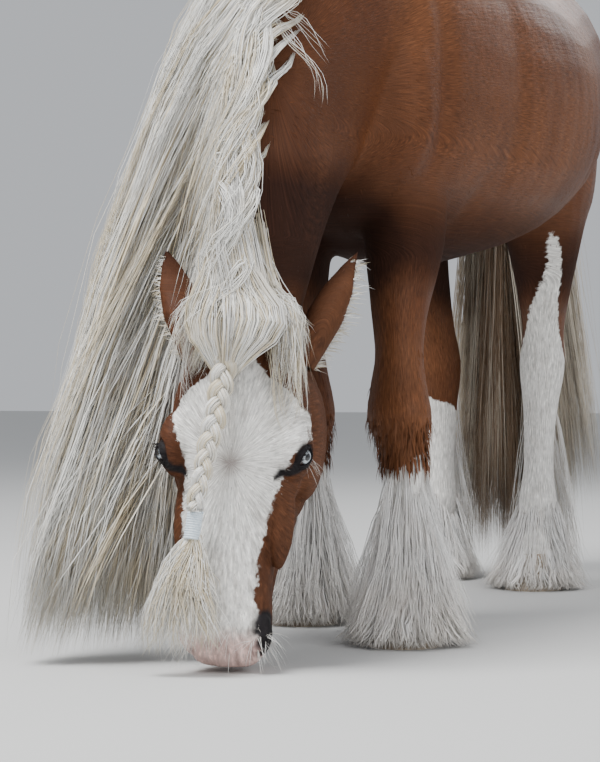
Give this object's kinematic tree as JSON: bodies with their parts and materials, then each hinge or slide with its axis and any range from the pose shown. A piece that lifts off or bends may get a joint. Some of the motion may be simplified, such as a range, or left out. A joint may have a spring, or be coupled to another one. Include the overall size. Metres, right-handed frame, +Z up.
{
  "type": "gypsy vanner horse",
  "caption": "Life-size grazing draught cob with feathered legs, a long mane falling on one side, a plaited forelock and a full tail, as a still model.",
  "frame": {"origin": "on the floor, under the middle of the whole model's box", "axes": "+Z up, -Y the way the horse faces, +X its left side"},
  "size_m": [0.752, 2.2774, 1.4505],
  "materials": {
    "head": "short glossy coat",
    "neck": "short glossy coat, with the mane",
    "torso": "short glossy coat",
    "tail": "long coarse hair",
    "ear_left": "short coat",
    "eye_left": "wet and glossy",
    "foreleg_left": "short glossy coat",
    "lower_foreleg_left": "long silky hair",
    "hoof_fore_left": "smooth horn",
    "hindleg_left": "short glossy coat",
    "lower_hindleg_left": "long silky hair",
    "hoof_hind_left": "smooth horn",
    "ear_right": "short coat",
    "eye_right": "wet and glossy",
    "foreleg_right": "short glossy coat",
    "lower_foreleg_right": "long silky hair",
    "hoof_fore_right": "smooth horn",
    "hindleg_right": "short glossy coat",
    "lower_hindleg_right": "long silky hair",
    "hoof_hind_right": "smooth horn",
    "braid": "plaited coarse hair",
    "hair_tie": "elastic band",
    "braid_tassel": "loose coarse hair"
  },
  "bodies": {
    "root": {"head": "head", "neck": "neck", "torso": "torso", "tail": "tail", "ear_left": "ear_left", "eye_left": "eye_left", "foreleg_left": "foreleg_left", "lower_foreleg_left": "lower_foreleg_left", "hoof_fore_left": "hoof_fore_left", "hindleg_left": "hindleg_left", "lower_hindleg_left": "lower_hindleg_left", "hoof_hind_left": "hoof_hind_left", "ear_right": "ear_right", "eye_right": "eye_right", "foreleg_right": "foreleg_right", "lower_foreleg_right": "lower_foreleg_right", "hoof_fore_right": "hoof_fore_right", "hindleg_right": "hindleg_right", "lower_hindleg_right": "lower_hindleg_right", "hoof_hind_right": "hoof_hind_right", "braid": "braid", "hair_tie": "hair_tie", "braid_tassel": "braid_tassel"}
  },
  "joints": []
}
